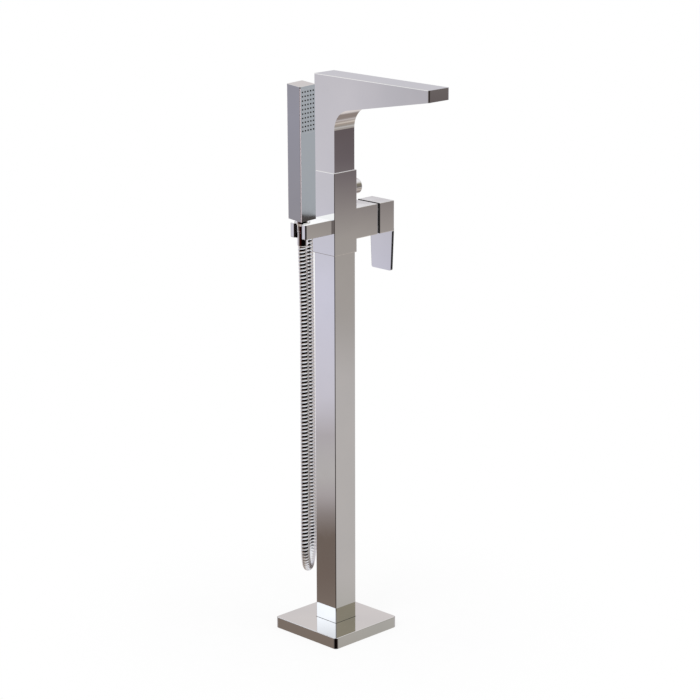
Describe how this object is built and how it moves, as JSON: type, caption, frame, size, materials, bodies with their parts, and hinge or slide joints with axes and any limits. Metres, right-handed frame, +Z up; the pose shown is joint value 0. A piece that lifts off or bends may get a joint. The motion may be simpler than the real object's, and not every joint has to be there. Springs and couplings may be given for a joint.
{
  "type": "floor standing bath filler",
  "caption": "Square chromed bath filler on a floor column, with a tapered fixed spout, side lever, pull diverter, and a square hand shower on a ribbed hose in a forked holder.",
  "frame": {"origin": "centre of the base on the floor, which is the centre of the four anchor holes", "axes": "+Z up the column, +X the way the spout points, +Y the side of the lever, -Y the side of the hand shower"},
  "size_m": [0.3325, 0.2389, 1.04],
  "materials": {
    "chrome": "polished chrome plate on brass",
    "steel": "stainless steel",
    "brass": "machined",
    "rubber": "black rubber",
    "white_plastic": "moulded",
    "nozzle_rubber": "soft grey rubber",
    "restrictor_plastic": "moulded",
    "disc_ceramic": "lapped"
  },
  "bodies": {
    "filler": {"base_cover": "chrome", "cover_seal": "rubber", "floor_flange": "steel", "column_screws": "steel", "column_tube": "chrome", "hot_pipe": "steel", "cold_pipe": "steel", "hot_union_nut": "brass", "cold_union_nut": "brass", "union_washers": "rubber", "body_casting": "chrome", "pipe_o_rings": "rubber", "body_screw": "steel", "holder_arm": "chrome", "arm_stud": "steel", "holder_ring": "white_plastic", "hose_outlet": "chrome", "outlet_o_ring": "rubber", "check_valve": "white_plastic", "cartridge_housing": "white_plastic", "port_seals": "rubber", "fixed_disc": "disc_ceramic", "cartridge_nut": "brass", "diverter_bush": "brass", "spout_shell": "chrome", "spout_connector": "brass", "spout_o_rings": "rubber", "spout_screw": "steel", "spout_pipe": "steel", "aerator_housing": "brass", "aerator_insert": "white_plastic", "aerator_washer": "rubber", "shower_hose": "steel", "hose_hex_nut": "chrome", "lower_tail": "brass", "lower_washer": "rubber"},
    "cartridge": {"cartridge_rotor": "white_plastic", "stem_pin": "steel"},
    "disc": {"sliding_disc": "disc_ceramic"},
    "lever": {"cartridge_stem": "brass", "lever_handle": "chrome", "lever_screw": "steel", "lever_plug": "chrome"},
    "diverter": {"diverter_spindle": "steel", "diverter_piston": "brass", "piston_seal": "rubber", "diverter_knob": "chrome"},
    "hose_end": {"hose_cone_nut": "chrome", "upper_tail": "brass", "upper_washer": "rubber"},
    "hand_shower": {"handset_body": "chrome", "handset_cap": "chrome", "handset_neck": "brass", "flow_restrictor": "restrictor_plastic", "handset_waterway": "white_plastic", "nozzle_mat": "nozzle_rubber", "spray_plate": "chrome"}
  },
  "joints": [
    {"name": "lever_turn", "type": "hinge", "parent": "filler", "child": "cartridge", "pos_m": [0, 0.057, 0.77], "axis": [0, 1, 0], "range_deg": [-45, 45]},
    {"name": "lever_lift", "type": "hinge", "parent": "cartridge", "child": "lever", "pos_m": [0, 0.057, 0.77], "axis": [1, 0, 0], "range_deg": [0, 9]},
    {"name": "disc_slide", "type": "slide", "parent": "cartridge", "child": "disc", "axis": [0, 0, 1], "range_m": [-0.0017, 0]},
    {"name": "diverter_pull", "type": "slide", "parent": "filler", "child": "diverter", "axis": [0, 1, 0], "range_m": [0, 0.009]},
    {"name": "handset_lift", "type": "slide", "parent": "filler", "child": "hose_end", "axis": [0.0616, -0.0616, 0.9962], "range_m": [0, 0.06]},
    {"name": "handset_turn", "type": "hinge", "parent": "hose_end", "child": "hand_shower", "pos_m": [0, -0.08, 0.77], "axis": [0.0616, -0.0616, 0.9962], "continuous": true}
  ],
  "couplings": [
    {"joint": "disc_slide", "follows": "lever_lift", "m_per_rad": -0.01}
  ]
}
